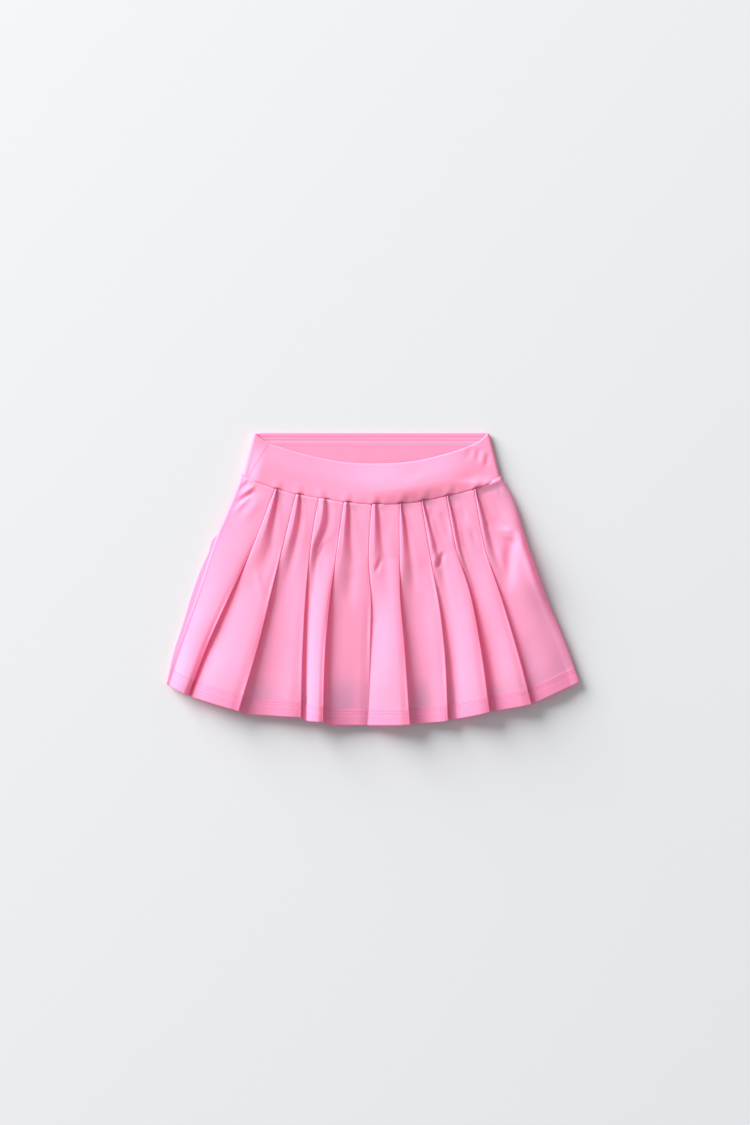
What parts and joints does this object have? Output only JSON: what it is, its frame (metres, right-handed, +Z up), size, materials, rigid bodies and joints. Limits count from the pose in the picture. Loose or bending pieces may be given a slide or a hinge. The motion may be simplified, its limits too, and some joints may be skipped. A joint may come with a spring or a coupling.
{
  "type": "pleated skort",
  "caption": "Child's pleated sports skort laid flat, with a wide waistband dipped at the front, knife pleats all round and inner shorts.",
  "frame": {"origin": "the middle of the skort's footprint, on the surface it lies on", "axes": "+Y from the hem to the waist, +X to the right as the front is seen, +Z up out of the surface"},
  "size_m": [0.4477, 0.3162, 0.0236],
  "materials": {
    "waistband": "smooth matte stretch knit",
    "skirt": "fine matte technical cloth with a slight sheen",
    "shorts": "smooth matte stretch knit"
  },
  "bodies": {
    "root": {"waistband_front": "waistband", "waistband_back": "waistband", "skirt_front": "skirt", "skirt_back": "skirt", "shorts_left": "shorts", "shorts_right": "shorts"}
  },
  "joints": []
}
